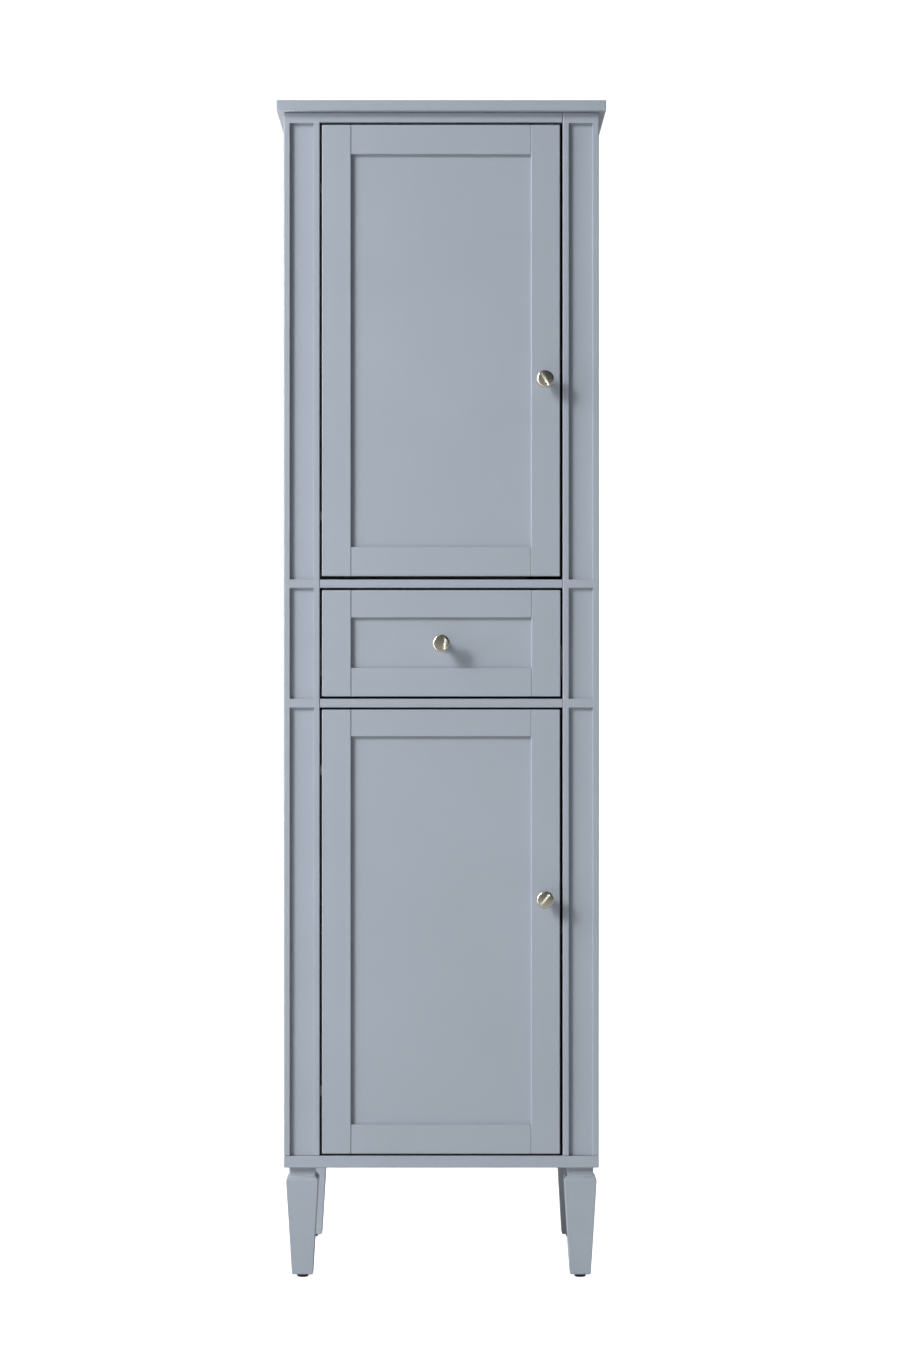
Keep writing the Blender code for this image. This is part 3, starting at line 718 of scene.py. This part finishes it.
def cross_cutter(reach, half_width):
    """A plus-shaped plug, for the recess of a cross-head screw."""
    outline = []
    for quarter in range(4):
        turn = Matrix.Rotation(quarter * math.pi / 2, 3, "Z")
        for corner in ((reach, -half_width, 0), (reach, half_width, 0), (half_width, half_width, 0)):
            outline.append(turn @ Vector(corner))
    bm = bmesh.new()
    face = bm.faces.new([bm.verts.new(corner) for corner in outline])
    grown = bmesh.ops.extrude_face_region(bm, geom=[face])
    raised = [item for item in grown["geom"] if isinstance(item, bmesh.types.BMVert)]
    bmesh.ops.translate(bm, vec=(0, 0, 2 * reach), verts=raised)
    bmesh.ops.recalc_face_normals(bm, faces=bm.faces)
    return mesh_of("cross_cutter", bm)


def screw_head(name, radius, height):
    """A pan head with a cross recess. It stands on its own z = 0."""
    profile = [(0.0, height)]
    profile += arc((radius - height, 0.0), height, 82, 12, 6)
    profile += [(radius, 0.0), (0.0, 0.0)]
    cross = cross_cutter(radius * RECESS_REACH, radius * RECESS_HALF_WIDTH)
    cutter = bpy.data.objects.new("cross_cutter", cross)
    cutter.location = (0, 0, height * RECESS_FLOOR)
    bpy.context.scene.collection.objects.link(cutter)
    mesh = applied(name, turned(f"{name}_plain", profile), lambda obj: cut_out(obj, cutter))
    bpy.data.objects.remove(cutter)
    mesh.set_sharp_from_angle(angle=math.radians(SMOOTH_DEGREES))
    return mesh


WOOD_SCREW = screw_head("wood_screw", *WOOD_SCREW_SIZE)
BACK_SCREW = screw_head("back_screw", *BACK_SCREW_SIZE)
KNOB_BOLT = screw_head("knob_bolt", *KNOB_BOLT_SIZE)


def add_screws(name, head, node, spots):
    """Screw heads that ride with one node, all facing the back of the cabinet."""
    mesh = joined_copies(name, head, [at(spot, BACK) for spot in spots])
    add_piece(name, mesh, SCREW_STEEL, body_of(node))


def hinge_screw_spots(node, inset):
    """Two screws, above and below the middle of a hinge plate. A negative inset is from its right edge."""
    low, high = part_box(node)
    x = low.x + inset if inset > 0 else high.x + inset
    middle = (low.z + high.z) / 2
    return [Vector((x, high.y, middle + offset)) for offset in (-HINGE_SCREW_RISE, HINGE_SCREW_RISE)]


for door in ("upper_door", "lower_door"):
    for end in ("lower", "upper"):
        arm, cup = f"{door}_{end}_hinge_arm", f"{door}_{end}_hinge_cup"
        add_screws(f"{arm}_screws", WOOD_SCREW, arm, hinge_screw_spots(arm, HINGE_ARM_SCREW_INSET))
        add_screws(f"{cup}_screws", WOOD_SCREW, cup, hinge_screw_spots(cup, HINGE_CUP_SCREW_INSET))
    knob_low, knob_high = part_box(f"{door}_knob")
    behind = Vector(((knob_low.x + knob_high.x) / 2, DOOR_BACK_Y, (knob_low.z + knob_high.z) / 2))
    add_screws(f"{door}_knob_bolt", KNOB_BOLT, f"{door}_knob", [behind])

SUB_FRONT = "drawer_sub_front"
SUB_LOW, SUB_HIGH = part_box(SUB_FRONT)
SUB_MIDDLE_Z = (SUB_LOW.z + SUB_HIGH.z) / 2
DRAWER_KNOB_LOW, DRAWER_KNOB_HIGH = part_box("drawer_knob")
DRAWER_KNOB_Z = (DRAWER_KNOB_LOW.z + DRAWER_KNOB_HIGH.z) / 2
FRONT_SCREW_SPOTS = [
    Vector((x, SUB_HIGH.y, SUB_MIDDLE_Z + z)) for x in DRAWER_SCREWS_ACROSS for z in DRAWER_SCREWS_UP
]
add_screws("drawer_front_screws", WOOD_SCREW, SUB_FRONT, FRONT_SCREW_SPOTS)
add_screws("drawer_knob_bolt", KNOB_BOLT, SUB_FRONT, [Vector((0.0, SUB_HIGH.y, DRAWER_KNOB_Z))])

SINK = Vector((0, COUNTERSINK_DEPTH, 0))
add_screws("back_panel_screws", BACK_SCREW, "back_panel", [spot - SINK for spot in back_screw_spots()])

PIN_TIP = arc((PIN_RADIUS - PIN_TIP_RADIUS, PIN_LENGTH - PIN_TIP_RADIUS), PIN_TIP_RADIUS, 80, 0, 4)
PIN_SHOULDER = [
    (PIN_RADIUS, PIN_FLANGE_EDGE),
    (PIN_RADIUS + PIN_FLANGE, PIN_FLANGE),
    (PIN_RADIUS + PIN_FLANGE, 0.0),
    (0.0, 0.0),
]
SHELF_PIN = turned("shelf_pin", [(0.0, PIN_LENGTH)] + PIN_TIP + PIN_SHOULDER)
for shelf in ("upper_shelf", "lower_shelf"):
    places = []
    for side in (-1, 1):
        places += [at(spot, (-side, 0, 0)) for spot in shelf_pin_spots(shelf, side)]
    name = f"{shelf}_pins"
    add_piece(name, joined_copies(name, SHELF_PIN, places), SCREW_STEEL, body_of(shelf))


def make_glide(node):
    """A moulded foot: a flared skirt, rounded under its rim, with a shallow hollow in its sole."""
    low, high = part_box(node)
    top = high.z
    wide = (high.x - low.x) / 2
    foot = wide - 0.0013
    skirt = [(0.0, top), (wide - 0.0005, top), (wide, top - 0.0005), (wide - 0.0003, top - 0.0012)]
    rim = arc((foot - 0.0010, 0.0010), 0.0010, 10, -90, 6)
    hollow = [(foot * 0.55, 0.0), (foot * 0.50, 0.0004), (0.0, 0.0004)]
    mesh = turned(f"{node}_moulded", skirt + rim + hollow, steps=48)
    mesh.transform(Matrix.Translation(((low.x + high.x) / 2, (low.y + high.y) / 2, 0.0)))
    add_piece(f"{node}_moulded", mesh, BLACK, body_of(node), (node,))


for node in NODES:
    if SLOT_OF[node] == "black_plastic":
        make_glide(node)
